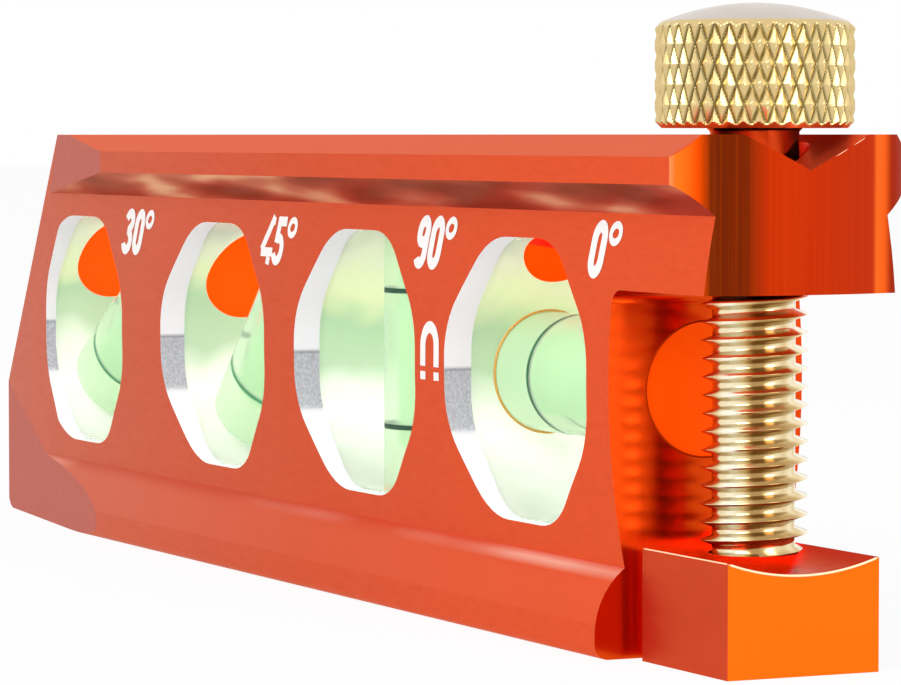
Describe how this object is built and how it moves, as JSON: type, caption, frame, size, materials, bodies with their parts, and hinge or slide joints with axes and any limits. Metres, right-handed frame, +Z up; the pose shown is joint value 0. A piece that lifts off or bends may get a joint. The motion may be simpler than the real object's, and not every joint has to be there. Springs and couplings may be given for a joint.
{
  "type": "magnetic spirit level",
  "caption": "Anodised aluminium torpedo spirit level with angle and level vials, a grooved top edge, a magnetic base and a brass thumbscrew clamp for pipe.",
  "frame": {"origin": "centre of the base, on the surface that the level lies on", "axes": "+X along the level towards the clamp, +Z up, +Y to the back"},
  "size_m": [0.1882, 0.023, 0.058],
  "materials": {
    "anodised_body": "satin red-orange anodising",
    "anodised_cap": "bright orange anodising",
    "clear_acrylic": "clear and glossy",
    "vial_fluid": "clear green liquid",
    "ring_paint": "dark green to black",
    "plug_plastic": "pale and glossy",
    "brass_screw": "bright turned brass",
    "magnet_plate": "nickel plated, satin"
  },
  "bodies": {
    "level": {"level_body": "anodised_body", "vial_tube_30": "clear_acrylic", "vial_rings_30": "ring_paint", "vial_fluid_30": "vial_fluid", "vial_plug_30": "plug_plastic", "vial_tube_45": "clear_acrylic", "vial_rings_45": "ring_paint", "vial_fluid_45": "vial_fluid", "vial_plug_45": "plug_plastic", "vial_tube_90": "clear_acrylic", "vial_rings_90": "ring_paint", "vial_fluid_90": "vial_fluid", "vial_plug_90": "plug_plastic", "vial_tube_0": "clear_acrylic", "vial_rings_0": "ring_paint", "vial_fluid_0": "vial_fluid", "vial_plug_0": "plug_plastic", "lens_front_30": "clear_acrylic", "lens_back_30": "clear_acrylic", "lens_front_45": "clear_acrylic", "lens_back_45": "clear_acrylic", "lens_front_90": "clear_acrylic", "lens_back_90": "clear_acrylic", "lens_front_0": "clear_acrylic", "lens_back_0": "clear_acrylic", "end_cap": "anodised_cap", "base_magnet_1": "magnet_plate", "base_magnet_2": "magnet_plate", "base_magnet_3": "magnet_plate", "base_magnet_4": "magnet_plate"},
    "screw": {"thumbscrew": "brass_screw"}
  },
  "joints": [
    {"name": "thumbscrew_travel", "type": "slide", "parent": "level", "child": "screw", "axis": [0, 0, 1], "range_m": [-0.00045, 0.0227]}
  ]
}
